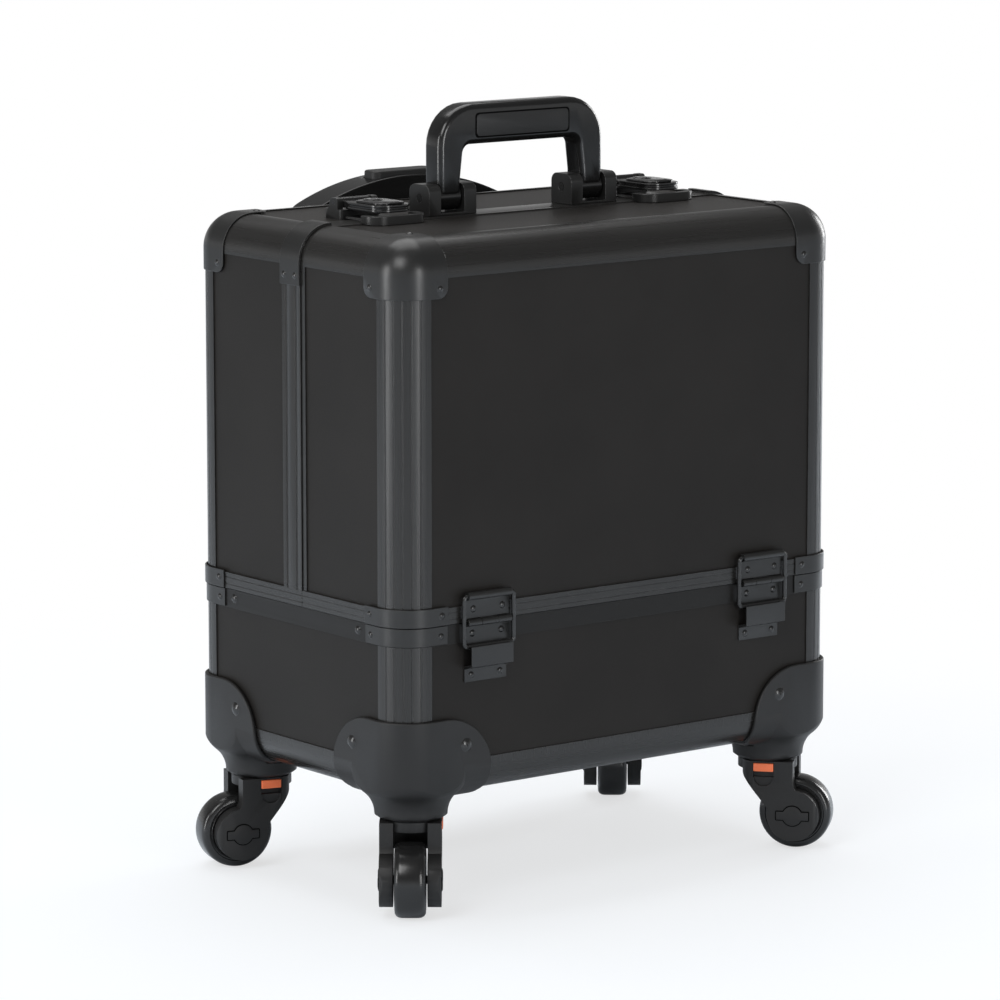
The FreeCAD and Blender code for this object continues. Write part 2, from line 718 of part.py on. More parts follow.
def make_hinges():
    upper = []
    lower = []
    pins = []
    guides = []
    stays = []
    rivets = []
    clear = knuckle_r + leaf_gap
    bore_r = hinge_pin_d / 2 + run_clear
    stay_z = seam_z + stay_rise
    wire_r = stay_wire_d / 2
    roll_r = wire_r + run_clear + roll_wall
    for s in (-1, 1):
        x = s * hinge_x
        x0 = x - hinge_leaf_w / 2
        x1 = x + hinge_leaf_w / 2
        k0 = x - knuckle_w / 2
        k1 = x + knuckle_w / 2
        bore = rod(bore_r, (x0 - overrun, hinge_y, seam_z), (x1 + overrun, hinge_y, seam_z))
        top_y = upper_leaf_y - hinge_leaf_t
        low_y = lower_leaf_y - hinge_leaf_t
        roll = rod(roll_r, (x0, hinge_y, stay_z), (x1, hinge_y, stay_z))
        roll_bore = rod(wire_r + run_clear, (x0 - overrun, hinge_y, stay_z), (x1 + overrun, hinge_y, stay_z))
        leaf = joined([block(x0, x1, top_y, upper_leaf_y, seam_z + clear, stay_z),
                       block(k0, k1, top_y, upper_leaf_y, seam_z, seam_z + clear + overrun),
                       knuckle(k0, k1), roll])
        upper.append(leaf.cut([bore, roll_bore]))
        sides = [knuckle(x0, k0 - leaf_gap), knuckle(k1 + leaf_gap, x1)]
        webs = [block(x0, k0 - leaf_gap, low_y, lower_leaf_y, seam_z - clear - overrun, seam_z),
                block(k1 + leaf_gap, x1, low_y, lower_leaf_y, seam_z - clear - overrun, seam_z)]
        links = [block(x0, k0 - leaf_gap, hinge_y, lower_leaf_y, seam_z - knuckle_r, seam_z - leaf_gap),
                 block(k1 + leaf_gap, x1, hinge_y, lower_leaf_y, seam_z - knuckle_r, seam_z - leaf_gap)]
        plate = block(x0, x1, low_y, lower_leaf_y, seam_z - lower_leaf_h, seam_z - clear)
        lower.append(joined([plate] + webs + sides + links).cut(bore))
        pins.append(rod(hinge_pin_d / 2, (x0, hinge_y, seam_z), (x1, hinge_y, seam_z)))
        face_y = -(half_d - panel_recess)
        foot_z = seam_z - guide_bottom_drop
        out_y = face_y - guide_standoff
        profile = [(face_y, foot_z - guide_foot_h, 0), (face_y, foot_z + guide_t, 0),
                   (out_y, foot_z + guide_t + guide_slope, 0),
                   (out_y, seam_z - guide_top_drop, 0),
                   (out_y - guide_t, seam_z - guide_top_drop, 0),
                   (out_y - guide_t, foot_z + guide_slope - guide_t / 2, 0),
                   (face_y - guide_t, foot_z - guide_t / 2, 0), (face_y - guide_t, foot_z - guide_foot_h, 0)]
        guides.append(slab_x(profile, x - guide_w / 2, x + guide_w / 2))
        stays.append(wire_loop(x, stay_z, wire_r))
        for px in (-1, 1):
            rx = x + px * hinge_rivet_pitch / 2
            rivets.append(dome(rivet_r, rivet_h, (rx, low_y, seam_z - lower_rivet_drop), (0, -1, 0)))
            rivets.append(dome(rivet_r, rivet_h, (rx, face_y - guide_t, foot_z - guide_foot_h / 2),
                               (0, -1, 0)))
    save("hinge_upper_leaves", upper)
    save("hinge_lower_leaves", lower)
    save("stay_guides", guides)
    save("hinge_stays", stays)
    return pins, rivets


# Closed wire loop of the stay, hanging from the roll of the upper leaf
def wire_loop(x, stay_z, wire_r):
    half = stay_w / 2 - wire_r
    low_z = stay_z - stay_length
    r = stay_corner_r
    bars = [rod(wire_r, (x - half + r, hinge_y, z), (x + half - r, hinge_y, z)) for z in (low_z, stay_z)]
    for s in (-1, 1):
        bars.append(rod(wire_r, (x + s * half, hinge_y, low_z + r), (x + s * half, hinge_y, stay_z - r)))
        for z, up in ((low_z + r, -1), (stay_z - r, 1)):
            centre = V(x + s * (half - r), hinge_y, z)
            bend = Part.makeTorus(r, wire_r, centre, V(0, 1, 0))
            keep = block(*span(s, 0, BIG), -BIG, BIG, *span(up, 0, BIG))
            keep.translate(centre)
            bars.append(bend.common(keep))
    return joined(bars)


# Parallel arms and two open trays that step out with the cover
arm_pivot_z = seam_z - arm_pivot_drop
link_y = arm_pivot_y - hinge_y
link_z = -arm_pivot_drop
lean_y = math.sin(math.radians(arm_lean))
lean_z = math.cos(math.radians(arm_lean))
arm_outer_x = half_w - wall - arm_wall_gap
arm_inner_x = arm_outer_x - arm_t
tray_half = arm_inner_x - arm_tray_gap


def tray_pivot(name):
    reach = tray_reaches[name]
    return hinge_y + reach * lean_y, seam_z + reach * lean_z


def make_tray(name):
    y, z = tray_pivot(name)
    y0 = y - tray_front
    y1 = y0 + tray_depth
    z0 = z - tray_below
    z1 = z0 + tray_h
    body = slab_z(rectangle(-tray_half, tray_half, y0, y1, tray_inner_r + tray_wall), z0, z1)
    inner_half = tray_half - tray_wall
    hollow = slab_z(rectangle(-inner_half, inner_half, y0 + tray_wall, y1 - tray_wall, tray_inner_r),
                    z0 + tray_wall, z1 + overrun)
    tray = body.cut(hollow)
    fins = [tray]
    for i in range(tray_dividers):
        x = -tray_half + 2 * tray_half * (i + 1) / (tray_dividers + 1)
        fins.append(block(x - tray_wall / 2, x + tray_wall / 2, y0 + tray_wall, y1 - tray_wall,
                          z0 + tray_wall, z1 - tray_divider_drop))
    holes = [through_x(pivot_d / 2 + run_clear, y, z),
             through_x(pivot_d / 2 + slide_clear, y + link_y, z + link_z)]
    save(name, joined(fins).cut(holes))


def make_trays():
    arms = []
    rivets = []
    pins = []
    longest = max(tray_reaches.values())
    for name in tray_reaches:
        make_tray(name)
    for s in (-1, 1):
        ends = [(arm_pivot_y, arm_pivot_z),
                (arm_pivot_y + longest * lean_y, arm_pivot_z + longest * lean_z)]
        across_y = lean_z * arm_w / 2
        across_z = -lean_y * arm_w / 2
        corners = [(ends[0][0] + across_y, ends[0][1] + across_z, 0),
                   (ends[1][0] + across_y, ends[1][1] + across_z, 0),
                   (ends[1][0] - across_y, ends[1][1] - across_z, 0),
                   (ends[0][0] - across_y, ends[0][1] - across_z, 0)]
        x0, x1 = span(s, arm_inner_x, arm_outer_x)
        tips = [rod(arm_w / 2, (x0, y, z), (x1, y, z)) for y, z in ends]
        arm = joined([slab_x(corners, x0, x1)] + tips)
        holes = [through_x(pivot_d / 2 + run_clear, arm_pivot_y, arm_pivot_z)]
        for name in tray_reaches:
            y, z = tray_pivot(name)
            far = (s * (tray_half - tray_wall), y + link_y, z + link_z)
            near = (s * (arm_outer_x + seat_clear), y + link_y, z + link_z)
            holes.append(through_x(pivot_d / 2 + seat_clear, y + link_y, z + link_z))
            rivets.append(rod(pivot_d / 2, far, near))
            wall_x = s * (half_w - wall)
            pin = rod(pivot_d / 2, (s * (tray_half - tray_wall), y, z), (wall_x, y, z))
            boss = rod(pivot_boss_r, (s * (half_w - wall - pivot_boss_t), y, z), (wall_x, y, z))
            pins.append(joined([pin, boss]))
        arms.append(arm.cut(holes))
    save("tray_arms", arms)
    save("arm_rivets", rivets)
    save("tray_pivot_pins", pins)


def make_pivot_screws():
    screws = []
    for sx in (-1, 1):
        for sy in (-1, 1):
            y = sy * -arm_pivot_y
            tip = arm_inner_x if sy < 0 else half_w - wall
            head = dome(screw_head_r, screw_head_h, (sx * half_w, y, arm_pivot_z), (sx, 0, 0))
            shank = rod(pivot_d / 2, (sx * tip, y, arm_pivot_z), (sx * half_w, y, arm_pivot_z))
            screws.append(joined([head, shank]))
    save("pivot_screws", screws)


# Carrying handle on two pairs of ears
handle_pivot_z = top_z + handle_pivot_rise
leg_outer = handle_w / 2
leg_inner = leg_outer - leg_w
bracket_x0 = leg_inner - part_gap - ear_t
bracket_x1 = leg_outer + part_gap + ear_t


def make_handle():
    handle_top = top_z + handle_rise
    gap_top = handle_top - grip_h
    foot_z = handle_pivot_z - handle_foot_r
    knee_z = handle_pivot_z + ear_rise + handle_knee_rise
    half_gap = finger_gap_w / 2
    front = [(-leg_outer, foot_z, 0), (-leg_inner, foot_z, 0), (-leg_inner, knee_z, 0),
             (-half_gap, gap_top, handle_inner_r), (half_gap, gap_top, handle_inner_r),
             (leg_inner, knee_z, 0), (leg_inner, foot_z, 0), (leg_outer, foot_z, 0),
             (leg_outer, handle_top, handle_outer_r), (-leg_outer, handle_top, handle_outer_r)]
    back_y = handle_y + handle_t / 2
    front_y = handle_y - handle_t / 2
    side = [(front_y, foot_z, handle_foot_round), (back_y, foot_z, handle_foot_round),
            (back_y, handle_top, handle_top_r), (front_y, handle_top, handle_top_r)]
    handle = slab_y(front, front_y, back_y).common(slab_x(side, -leg_outer, leg_outer))
    pad_z = handle_top - grip_h / 2 - pad_drop
    pads = []
    for y0, y1 in ((front_y, front_y + pad_t), (back_y - pad_t, back_y)):
        pads.append(slab_y(rectangle(-pad_w / 2, pad_w / 2, pad_z - pad_h / 2, pad_z + pad_h / 2, pad_round),
                           y0, y1))
    bore = through_x(handle_pin_d / 2 + run_clear, handle_y, handle_pivot_z)
    save("handle_grip", handle.cut(pads + [bore]))
    save("handle_pads", pads)
    brackets = []
    pins = []
    y0 = handle_y - ear_depth / 2
    y1 = handle_y + ear_depth / 2
    ear_top = handle_pivot_z + ear_rise
    ear = [(y0, top_z, 0), (y1, top_z, 0), (y1, ear_top, ear_top_r), (y0, ear_top, ear_top_r)]
    hole = through_x(handle_pin_d / 2 + seat_clear, handle_y, handle_pivot_z)
    for s in (-1, 1):
        inner_ear = span(s, bracket_x0, bracket_x0 + ear_t)
        outer_ear = span(s, bracket_x1 - ear_t, bracket_x1)
        x0, x1 = span(s, bracket_x0, bracket_x1)
        parts = [slab_x(ear, *inner_ear), slab_x(ear, *outer_ear),
                 block(x0, x1, y0, y1, top_z, top_z + bracket_base_t),
                 block(x0, x1, strip_back_y, y1, top_z - panel_recess, top_z)]
        brackets.append(joined(parts).cut(hole))
        pins.append(rod(handle_pin_d / 2, (x0, handle_y, handle_pivot_z), (x1, handle_y, handle_pivot_z)))
    save("handle_brackets", brackets)
    return pins


# Top lever latches: hinged lever and base behind the split, strike in front of it
lever_pin_z = top_z + lever_pin_rise
lever_z = top_z + lever_rise
lever_tip_y = split_y - lever_overlap


def make_latches():
    bases = []
    strikes = []
    pins = []
    half_lever = lever_w / 2
    for s, side in ((-1, "left"), (1, "right")):
        x = s * latch_x
        bore = through_x(lever_pin_d / 2 + run_clear, lever_pin_y, lever_pin_z)
        seat = through_x(lever_pin_d / 2 + seat_clear, lever_pin_y, lever_pin_z)
        half_block = latch_block_w / 2
        ears = []
        ear_top = lever_pin_z + lever_knuckle_r
        ear = [(lever_pin_y - latch_ear_front, top_z, 0), (lever_pin_y + latch_ear_back, top_z, 0),
               (lever_pin_y + lever_knuckle_r, ear_top, latch_ear_r),
               (lever_pin_y - latch_ear_front, ear_top, latch_ear_r)]
        for e in (-1, 1):
            e0, e1 = sorted((x + e * (half_block - latch_ear_t), x + e * half_block))
            ears.append(slab_x(ear, e0, e1))
        plan = [(x - half_block, latch_block_y0, latch_front_r),
                (x + half_block, latch_block_y0, latch_front_r),
                (x + half_block, latch_block_y1, latch_back_r),
                (x - half_block, latch_block_y1, latch_back_r)]
        foot = slab_z(plan, top_z - panel_recess, top_z + latch_block_h)
        relief = block(x - half_block + latch_ear_t, x + half_block - latch_ear_t, latch_block_y0 - overrun,
                       latch_block_y1 + overrun, lever_pin_z - lever_knuckle_r - part_gap, BIG)
        neck = block(x - latch_neck_w / 2, x + latch_neck_w / 2, rear_front_y, latch_block_y0 + overrun,
                     top_z, top_z + latch_neck_t)
        bases.append(joined([foot, neck] + ears).cut([relief, seat]))
        pins.append(rod(lever_pin_d / 2, (x - half_block, lever_pin_y, lever_pin_z),
                        (x + half_block, lever_pin_y, lever_pin_z)))
        make_lever(x, side, half_lever, bore)
        front_y = cover_back_y - strike_reach
        edge_y = cover_back_y - cover_edge_w
        half_strike = strike_w / 2
        deck = [(x - half_strike, cover_back_y, strike_back_r), (x - half_strike, front_y, strike_corner_r),
                (x + half_strike, front_y, strike_corner_r), (x + half_strike, cover_back_y, strike_back_r)]
        strike = slab_z(deck, top_z - panel_recess, top_z - panel_recess + strike_h)
        step = block(x - strike_w, x + strike_w, edge_y, BIG, top_z - wall, top_z)
        half_pocket = half_lever + strike_pocket_gap
        pocket = block(x - half_pocket, x + half_pocket, lever_tip_y - strike_pocket_gap, BIG,
                       top_z + strike_floor, BIG)
        strikes.append(strike.cut([step, pocket]))
    save("latch_bases", bases)
    save("latch_strikes", strikes)
    return pins


def make_lever(x, side, half_lever, bore):
    width = latch_block_w / 2 - latch_ear_t - part_gap
    heel_y = lever_pin_y - lever_shoulder
    waist_y = lever_pin_y - lever_waist
    plan = [(x - width, heel_y, lever_heel_r), (x - half_lever, waist_y, lever_waist_r),
            (x - half_lever, lever_tip_y, lever_tip_r), (x + half_lever, lever_tip_y, lever_tip_r),
            (x + half_lever, waist_y, lever_waist_r), (x + width, heel_y, lever_heel_r)]
    deck = slab_z(plan, lever_z, lever_z + lever_t)
    half_cap = half_lever - lever_cap_inset
    cap_back_y = waist_y - lever_cap_inset
    cap_front_y = lever_tip_y + lever_cap_inset
    crown = [(x - half_cap, cap_back_y, lever_cap_round), (x - half_cap, cap_front_y, lever_cap_tip_r),
             (x + half_cap, cap_front_y, lever_cap_tip_r), (x + half_cap, cap_back_y, lever_cap_round)]
    cap_top = lever_z + lever_t + lever_cap_t
    cap = slab_z(crown, lever_z + lever_t, cap_top)
    tongue = block(x - width, x + width, heel_y - lever_heel_r, lever_pin_y, lever_z, lever_z + lever_t)
    barrel = rod(lever_knuckle_r, (x - width, lever_pin_y, lever_pin_z),
                 (x + width, lever_pin_y, lever_pin_z))
    seat_z = lever_z + lock_seat
    lock_hole = rod(lock_d / 2 + run_clear, (x, lock_y, seat_z), (x, lock_y, BIG))
    save("latch_lever_" + side, joined([deck, cap, tongue, barrel]).cut([bore, lock_hole]))
    plug_top = cap_top + lock_proud
    plug = rod(lock_d / 2, (x, lock_y, seat_z + seat_clear), (x, lock_y, plug_top))
    key_slot = block(x - key_slot_w / 2, x + key_slot_w / 2, lock_y - key_slot_l / 2, lock_y + key_slot_l / 2,
                     plug_top - key_slot_depth, BIG)
    save("latch_lock_" + side, plug.cut(key_slot))


# Telescopic trolley on the back
def tube_body(shrink, z0, z1, x):
    hx = outer_tube_x / 2 - shrink
    hy = outer_tube_y / 2 - shrink
    corner_r = tube_round - shrink / 2
    return slab_z(rectangle(x - hx, x + hx, trolley_y - hy, trolley_y + hy, corner_r), z0, z1)


def make_trolley():
    tube_top = top_z - trolley_top_drop
    mid_shrink = tube_wall + tube_clear
    inner_shrink = 2 * mid_shrink
    grip_top = top_z + grip_top_rise
    end_z = tube_top + grip_end_rise
    outer = []
    mid = []
    inner = []
    brackets = []
    back_y = half_d - panel_recess
    for s in (-1, 1):
        x = s * trolley_x
        tube = tube_body(0, tube_bottom_z, tube_top, x)
        outer.append(tube.cut(tube_body(tube_wall, tube_bottom_z + tube_wall, tube_top + overrun, x)))
        body = tube_body(mid_shrink, tube_bottom_z + tube_stop, tube_top + mid_tube_proud, x)
        mid.append(body.cut(tube_body(mid_shrink + tube_wall, tube_bottom_z + tube_stop + tube_wall,
                                      tube_top + mid_tube_proud + overrun, x)))
        inner.append(tube_body(inner_shrink, tube_bottom_z + 2 * tube_stop, end_z, x))
    reach = trolley_x + outer_tube_x / 2 + trolley_bracket_x
    far_y = trolley_y + outer_tube_y / 2 + trolley_bracket_wall
    upper_z0 = tube_top - trolley_bracket_h
    lower_z0 = tube_bottom_z - tube_wall
    for z0 in (upper_z0, lower_z0):
        for s in (-1, 1):
            x = s * trolley_x
            half_x = outer_tube_x / 2 + trolley_bracket_wall
            face = rectangle(*span(s, trolley_x - half_x, reach), z0, z0 + trolley_bracket_h,
                             trolley_bracket_r)
            pad = slab_y(face, back_y, back_y + trolley_pad_t)
            plan = rectangle(x - half_x, x + half_x, back_y + overrun, far_y, trolley_bracket_r)
            clasp = slab_z(plan, z0, z0 + trolley_bracket_h)
            hole = tube_body(-seat_clear, tube_bottom_z, BIG, x)
            brackets.append(joined([pad, clasp]).cut(hole))
    save("trolley_outer_tubes", outer)
    save("trolley_mid_tubes", mid)
    save("trolley_inner_tubes", inner)
    save("trolley_brackets", brackets)
    make_grip(end_z, grip_top)


def arch(half, z_end, z_top, y0, y1, below):
    left = V(-half, y0, z_end)
    right = V(half, y0, z_end)
    edges = [Part.Arc(left, V(0, y0, z_top), right).toShape(),
             Part.LineSegment(right, V(half, y0, below)).toShape(),
             Part.LineSegment(V(half, y0, below), V(-half, y0, below)).toShape(),
             Part.LineSegment(V(-half, y0, below), left).toShape()]
    return Part.Face(Part.Wire(edges)).extrude(V(0, y1 - y0, 0))


def make_grip(end_z, grip_top):
    half = grip_w / 2
    y0 = trolley_y - grip_depth / 2
    y1 = trolley_y + grip_depth / 2
    band = arch(half, end_z + grip_end_h, grip_top, y0, y1, end_z)
    gap_half = trolley_x - outer_tube_x / 2
    gap = arch(gap_half, end_z + grip_gap_end, grip_top - grip_band, y0 - overrun, y1 + overrun,
               end_z - overrun)
    plan = slab_z(rectangle(-half, half, y0, y1, grip_plan_r), end_z - overrun, grip_top + overrun)
    grip = band.cut(gap).common(plan)
    well_z = grip_top - button_stem
    well = slab_z(rectangle(-button_w / 2 - slide_clear, button_w / 2 + slide_clear,
                            trolley_y - button_depth / 2 - slide_clear,
                            trolley_y + button_depth / 2 + slide_clear, button_round), well_z, BIG)
    save("trolley_grip", grip.cut(well))
    button = slab_z(rectangle(-button_w / 2, button_w / 2, trolley_y - button_depth / 2,
                              trolley_y + button_depth / 2, button_round),
                    well_z + button_travel + slide_clear, grip_top + button_proud)
    save("trolley_button", button)


base_clips = make_base()
rear_clips = make_rear_half()
make_cover()
save("seam_corner_clips", base_clips + rear_clips)
corners = {"front_left": (-1, -1, front_left_angle), "front_right": (1, -1, front_right_angle),
           "rear_left": (-1, 1, rear_left_angle), "rear_right": (1, 1, rear_right_angle)}
boots = []
case_rivets = []
for corner, (sx, sy, trail_angle) in corners.items():
    boots.append(corner_boot(sx, sy))
    case_rivets += boot_rivets(sx, sy)
    case_rivets += corner_rivets(sx, sy, seam_z - seam_rivet_dz, fitting_t)
    make_caster(corner, sx, sy, trail_angle)
    if sy > 0:
        case_rivets += cap_rivets(sx, sy)
        case_rivets += bracket_rivets(sx)
        case_rivets += corner_rivets(sx, sy, seam_z + seam_rivet_dz, strip_proud + fitting_t)
save("corner_boots", boots)
hinge_pins, hinge_rivets = make_hinges()
make_trays()
make_pivot_screws()
handle_pins = make_handle()
latch_pins = make_latches()
make_trolley()
save("hinge_pins", hinge_pins + handle_pins + latch_pins)
save("case_rivets", case_rivets + hinge_rivets)
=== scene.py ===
import bpy
import bmesh
import json
import math
from mathutils import Matrix, Vector

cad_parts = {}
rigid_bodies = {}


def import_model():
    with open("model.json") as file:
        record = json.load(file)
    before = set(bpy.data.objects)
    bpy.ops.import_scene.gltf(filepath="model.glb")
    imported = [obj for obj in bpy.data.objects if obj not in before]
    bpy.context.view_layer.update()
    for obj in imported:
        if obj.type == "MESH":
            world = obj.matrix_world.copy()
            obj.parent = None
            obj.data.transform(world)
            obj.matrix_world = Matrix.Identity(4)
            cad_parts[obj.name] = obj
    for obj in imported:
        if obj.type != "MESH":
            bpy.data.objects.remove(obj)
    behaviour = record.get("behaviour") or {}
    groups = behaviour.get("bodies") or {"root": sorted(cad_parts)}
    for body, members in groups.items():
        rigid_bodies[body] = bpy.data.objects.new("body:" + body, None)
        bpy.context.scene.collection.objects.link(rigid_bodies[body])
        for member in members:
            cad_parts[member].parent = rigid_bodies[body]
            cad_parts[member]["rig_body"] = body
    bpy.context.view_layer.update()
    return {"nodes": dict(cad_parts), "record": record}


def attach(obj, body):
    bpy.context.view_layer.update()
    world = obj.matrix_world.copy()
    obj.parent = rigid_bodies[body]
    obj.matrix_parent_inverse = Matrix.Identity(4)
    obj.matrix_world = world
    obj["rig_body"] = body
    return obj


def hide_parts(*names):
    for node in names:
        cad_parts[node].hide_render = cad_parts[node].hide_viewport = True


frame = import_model()
print("frame loaded with", len(frame["nodes"]), "nodes")

# shapes are written in millimetres, and Blender works in metres
mm = 0.001
# what the dark finishes share: noise, ramp ends, how pale a rubbed edge is and what counts as an edge
sheen = dict(cloud=14.0, cloudDetail=4.0, cloudEnds=(0.35, 0.65), fineDetail=2.0, fineEnds=(0.3, 0.7),
             patch=120.0, patchDetail=4.0, patchEnds=(0.42, 0.66), paler=5, lift=0.03,
             edgeSamples=4, edgeFrom=0.97, edgeTo=0.85)
# drawn lines: how far the noise is stretched, and the heights in metres between which they run upright
drawn = dict(stretch=0.012, posts=[(0.0, 0), (0.105, 1), (0.194, 0), (0.223, 1), (0.447, 0)])


# every finish starts from one principled shader on object coordinates
def nodeMaterial(name):
    mat = bpy.data.materials.new(name)
    mat.use_nodes = True
    tree = mat.node_tree
    coords = tree.nodes.new("ShaderNodeTexCoord")
    return mat, tree, tree.nodes["Principled BSDF"], coords.outputs["Object"]


def noiseOn(tree, coords, scale, detail=3.0, stretch=(1, 1, 1)):
    mapping = tree.nodes.new("ShaderNodeMapping")
    mapping.inputs["Scale"].default_value = stretch
    noise = tree.nodes.new("ShaderNodeTexNoise")
    noise.inputs["Scale"].default_value = scale
    noise.inputs["Detail"].default_value = detail
    tree.links.new(coords, mapping.inputs["Vector"])
    tree.links.new(mapping.outputs["Vector"], noise.inputs["Vector"])
    return noise.outputs["Fac"]


def rampOn(tree, fac, stops):
    stops = list(stops)
    ramp = tree.nodes.new("ShaderNodeValToRGB")
    halfway = 0.5
    while len(ramp.color_ramp.elements) < len(stops):
        ramp.color_ramp.elements.new(halfway)
    for element, (pos, colour) in zip(ramp.color_ramp.elements, stops):
        element.position = pos
        element.color = (*colour, 1)
    tree.links.new(fac, ramp.inputs["Fac"])
    return ramp.outputs["Color"]


def grey(v):
    return (v, v, v)


# how far a spot lies from a sharp edge, as a mask that is 1 on the edge itself
def edgeMask(tree, radius):
    bevel = tree.nodes.new("ShaderNodeBevel")
    bevel.samples = sheen["edgeSamples"]
    bevel.inputs["Radius"].default_value = radius
    plain = tree.nodes.new("ShaderNodeNewGeometry")
    dot = tree.nodes.new("ShaderNodeVectorMath")
    dot.operation = "DOT_PRODUCT"
    tree.links.new(bevel.outputs["Normal"], dot.inputs[0])
    tree.links.new(plain.outputs["Normal"], dot.inputs[1])
    span = tree.nodes.new("ShaderNodeMapRange")
    span.inputs["From Min"].default_value = sheen["edgeFrom"]
    span.inputs["From Max"].default_value = sheen["edgeTo"]
    tree.links.new(dot.outputs["Value"], span.inputs["Value"])
    return span.outputs["Result"]


# dark finishes: mottled colour, uneven sheen, fine grain and paler, rubbed edges
def darkFinish(name, colour, rough, grain, bump, depth, spread, specular=0.5, wear=0.0, edge=0.0006,
               uneven=0.05, streaks=None):
    mat, tree, shader, coords = nodeMaterial(name)
    cloud = noiseOn(tree, coords, sheen["cloud"], sheen["cloudDetail"])
    fine = streaks(tree, coords, grain) if streaks else noiseOn(tree, coords, grain, sheen["fineDetail"])
    low = tuple(c * (1 - spread) for c in colour)
    high = tuple(c * (1 + spread) for c in colour)
    base = rampOn(tree, cloud, zip(sheen["cloudEnds"], (low, high)))
    if wear:
        patches = noiseOn(tree, coords, sheen["patch"], sheen["patchDetail"])
        patchy = rampOn(tree, patches, zip(sheen["patchEnds"], (grey(0.0), grey(wear))))
        rubbed = tree.nodes.new("ShaderNodeMath")
        rubbed.operation = "MULTIPLY"
        tree.links.new(edgeMask(tree, edge), rubbed.inputs[0])
        tree.links.new(patchy, rubbed.inputs[1])
        paler = tree.nodes.new("ShaderNodeMix")
        paler.data_type = "RGBA"
        pale = [min(1.0, c * sheen["paler"] + sheen["lift"]) for c in colour]
        paler.inputs["B"].default_value = (*pale, 1)
        tree.links.new(rubbed.outputs["Value"], paler.inputs["Factor"])
        tree.links.new(base, paler.inputs["A"])
        base = paler.outputs["Result"]
    tree.links.new(base, shader.inputs["Base Color"])
    roughness = rampOn(tree, fine, zip(sheen["fineEnds"], (grey(rough - uneven), grey(rough + uneven))))
    tree.links.new(roughness, shader.inputs["Roughness"])
    shader.inputs["Specular IOR Level"].default_value = specular
    relief = tree.nodes.new("ShaderNodeBump")
    relief.inputs["Strength"].default_value = bump
    relief.inputs["Distance"].default_value = depth
    tree.links.new(fine, relief.inputs["Height"])
    tree.links.new(relief.outputs["Normal"], shader.inputs["Normal"])
    return mat


# lines that run upright, as on the posts and the trolley's tubes
def tubeLines(tree, coords, grain):
    return noiseOn(tree, coords, grain, sheen["fineDetail"], (1, 1, drawn["stretch"]))


# drawn lines that run up the posts and along the level rails, told apart by height
def drawnLines(tree, coords, grain):
    upright = tubeLines(tree, coords, grain)
    level = noiseOn(tree, coords, grain, sheen["fineDetail"], (drawn["stretch"], drawn["stretch"], 1))
    parts = tree.nodes.new("ShaderNodeSeparateXYZ")
    tree.links.new(coords, parts.inputs["Vector"])
    posts = rampOn(tree, parts.outputs["Z"], [(height, grey(tone)) for height, tone in drawn["posts"]])
    posts.node.color_ramp.interpolation = "CONSTANT"
    pick = tree.nodes.new("ShaderNodeMix")
    tree.links.new(posts, pick.inputs["Factor"])
    tree.links.new(level, pick.inputs["A"])
    tree.links.new(upright, pick.inputs["B"])
    return pick.outputs["Result"]


finishes = dict(
    panel_skin=darkFinish("panelSkin", (0.0137, 0.0123, 0.0111), rough=0.46, grain=900.0, bump=0.06,
                          depth=0.0001, spread=0.08, specular=0.15),
    anodised_frame=darkFinish("anodisedFrame", (0.0109, 0.0103, 0.0096), rough=0.3, grain=700.0, bump=0.05,
                              depth=0.00005, spread=0.06, wear=0.5, streaks=drawnLines),
    black_fitting=darkFinish("blackFitting", (0.012, 0.012, 0.0118), rough=0.33, grain=900.0, bump=0.06,
                             depth=0.00008, spread=0.1, specular=0.45, wear=0.5),
    latch_metal=darkFinish("latchMetal", (0.007, 0.007, 0.007), rough=0.2, grain=500.0, bump=0.03,
                           depth=0.00005, spread=0.12, wear=0.4),
    rivet_metal=darkFinish("rivetMetal", (0.012, 0.012, 0.012), rough=0.22, grain=500.0, bump=0.04,
                           depth=0.00005, spread=0.12, wear=0.6, edge=0.0004),
    moulded_black=darkFinish("mouldedBlack", (0.0125, 0.0123, 0.0123), rough=0.48, grain=1500.0, bump=0.16,
                             depth=0.00015, spread=0.1, specular=0.34, wear=0.25),
    wheel_tread=darkFinish("wheelTread", (0.009, 0.009, 0.009), rough=0.23, grain=600.0, bump=0.02,
                           depth=0.00005, spread=0.1, wear=0.3, uneven=0.025),
    orange_tab=darkFinish("orangeTab", (0.80, 0.17, 0.06), rough=0.4, grain=900.0, bump=0.1,
                          depth=0.0001, spread=0.08),
    handle_plastic=darkFinish("handlePlastic", (0.006, 0.006, 0.006), rough=0.2, grain=1200.0, bump=0.05,
                              depth=0.00008, spread=0.12, wear=0.25),
    soft_black=darkFinish("softBlack", (0.013, 0.013, 0.013), rough=0.5, grain=1400.0, bump=0.2,
                          depth=0.00015, spread=0.1, specular=0.4),
    trolley_tube=darkFinish("trolleyTube", (0.014, 0.014, 0.014), rough=0.27, grain=700.0, bump=0.05,
                            depth=0.00005, spread=0.08, streaks=tubeLines),
    tray_plastic=darkFinish("trayPlastic", (0.013, 0.013, 0.013), rough=0.55, grain=1200.0, bump=0.25,
                            depth=0.0002, spread=0.1, specular=0.4),
)
# a darker, duller copy of the frame finish: painted shade for the seam strip that lies in the shadow of the
# strip above
paintedShadeFrame = darkFinish("paintedShadeFrame", (0.0089, 0.0083, 0.0077), rough=0.36, grain=700.0, bump=0.05,
                        depth=0.00005, spread=0.06, specular=0.22, wear=0.4, streaks=drawnLines)
# a near-black, dull finish for thin outlines round the fork caps and handle pads: painted shade standing in
# for the shadow in the gap round each
paintedGapShade = darkFinish("paintedGapShade", (0.0018, 0.0018, 0.0018), rough=0.85, grain=900.0, bump=0.1,
                      depth=0.0001, spread=0.1, specular=0.05)
slotOf = {s["node"]: s["material_slot"] for s in frame["record"]["subparts"]}
